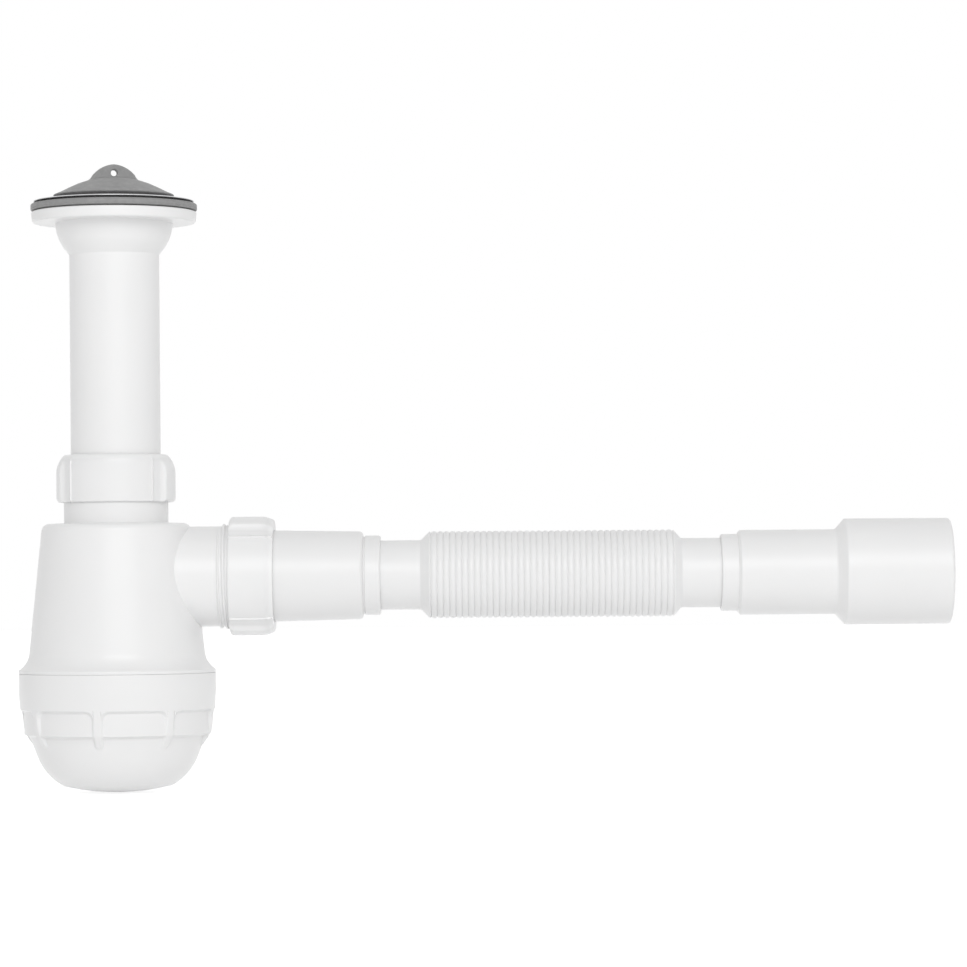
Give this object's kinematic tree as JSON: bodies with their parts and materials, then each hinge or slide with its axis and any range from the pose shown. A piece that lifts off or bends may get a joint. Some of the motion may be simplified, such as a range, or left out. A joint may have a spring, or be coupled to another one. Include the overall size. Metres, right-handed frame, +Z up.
{
  "type": "sink bottle trap",
  "caption": "Kitchen sink bottle trap: strainer waste with rubber plug, telescoping tail pipe, screw-off ribbed cup, union nuts and an extending corrugated outlet hose.",
  "frame": {"origin": "centre of the flange gasket's top face, where the bottom of the sink sits", "axes": "+Z up along the tail pipe, +X along the outlet and the hose, +Y away from the viewer"},
  "size_m": [0.4388, 0.0926, 0.2956],
  "materials": {
    "white_plastic": "moulded, half gloss",
    "hose_plastic": "moulded, half gloss",
    "grey_rubber": "moulded, matt",
    "stainless_steel": "pressed",
    "brass": "turned"
  },
  "bodies": {
    "sink_fitting": {"rubber_plug": "grey_rubber", "strainer": "stainless_steel", "strainer_screw": "stainless_steel", "insert_nut": "brass", "flange_gasket": "grey_rubber", "tail_pipe": "white_plastic"},
    "grip_seal": {"top_cone_seal": "grey_rubber"},
    "bottle": {"bottle_body": "white_plastic", "dip_tube": "white_plastic"},
    "top_washer": {"top_slip_washer": "white_plastic"},
    "top_nut": {"top_nut": "white_plastic"},
    "cup_seal": {"cup_gasket": "grey_rubber"},
    "cup": {"cup": "white_plastic"},
    "side_washer": {"side_slip_washer": "white_plastic"},
    "side_nut": {"side_nut": "white_plastic"},
    "side_seal": {"side_cone_seal": "grey_rubber"},
    "inlet_cuff": {"inlet_cuff": "hose_plastic"},
    "hose": {"corrugated_hose": "hose_plastic"},
    "outlet_cuff": {"outlet_cuff": "hose_plastic"}
  },
  "joints": [
    {"name": "height_slide", "type": "slide", "parent": "sink_fitting", "child": "grip_seal", "axis": [0, 0, 1], "range_m": [-0.045, 0.055]},
    {"name": "trap_swivel", "type": "hinge", "parent": "grip_seal", "child": "bottle", "pos_m": [0, 0, -0.1752], "axis": [0, 0, 1], "continuous": true},
    {"name": "top_washer_lift", "type": "slide", "parent": "bottle", "child": "top_washer", "axis": [0, 0, 1], "range_m": [0, 0.0091]},
    {"name": "top_nut_turn", "type": "hinge", "parent": "top_washer", "child": "top_nut", "pos_m": [0, 0, -0.128], "axis": [0, 0, 1], "range_deg": [0, 1080]},
    {"name": "cup_seal_drop", "type": "slide", "parent": "bottle", "child": "cup_seal", "axis": [0, 0, -1], "range_m": [0, 0.0091]},
    {"name": "cup_turn", "type": "hinge", "parent": "cup_seal", "child": "cup", "pos_m": [0, 0, -0.24], "axis": [0, 0, -1], "range_deg": [0, 1080]},
    {"name": "side_washer_draw", "type": "slide", "parent": "bottle", "child": "side_washer", "axis": [1, 0, 0], "range_m": [0, 0.0091]},
    {"name": "side_nut_turn", "type": "hinge", "parent": "side_washer", "child": "side_nut", "pos_m": [0.064, 0, -0.1752], "axis": [1, 0, 0], "range_deg": [0, 1080]},
    {"name": "cuff_swivel", "type": "hinge", "parent": "bottle", "child": "side_seal", "pos_m": [0.07, 0, -0.1752], "axis": [1, 0, 0], "continuous": true},
    {"name": "cuff_slide", "type": "slide", "parent": "side_seal", "child": "inlet_cuff", "axis": [1, 0, 0], "range_m": [-0.01, 0.018]},
    {"name": "hose_bend", "type": "hinge", "parent": "inlet_cuff", "child": "hose", "pos_m": [0.1766, 0, -0.1752], "axis": [0, 1, 0], "range_deg": [-30, 30], "deforming": ["corrugated_hose"]},
    {"name": "hose_stretch", "type": "slide", "parent": "hose", "child": "outlet_cuff", "axis": [1, 0, 0], "range_m": [0, 0.14], "deforming": ["corrugated_hose"]}
  ],
  "couplings": [
    {"joint": "top_washer_lift", "follows": "top_nut_turn", "m_per_rad": 0.00047746},
    {"joint": "cup_seal_drop", "follows": "cup_turn", "m_per_rad": 0.00047746},
    {"joint": "side_washer_draw", "follows": "side_nut_turn", "m_per_rad": 0.00047746}
  ]
}
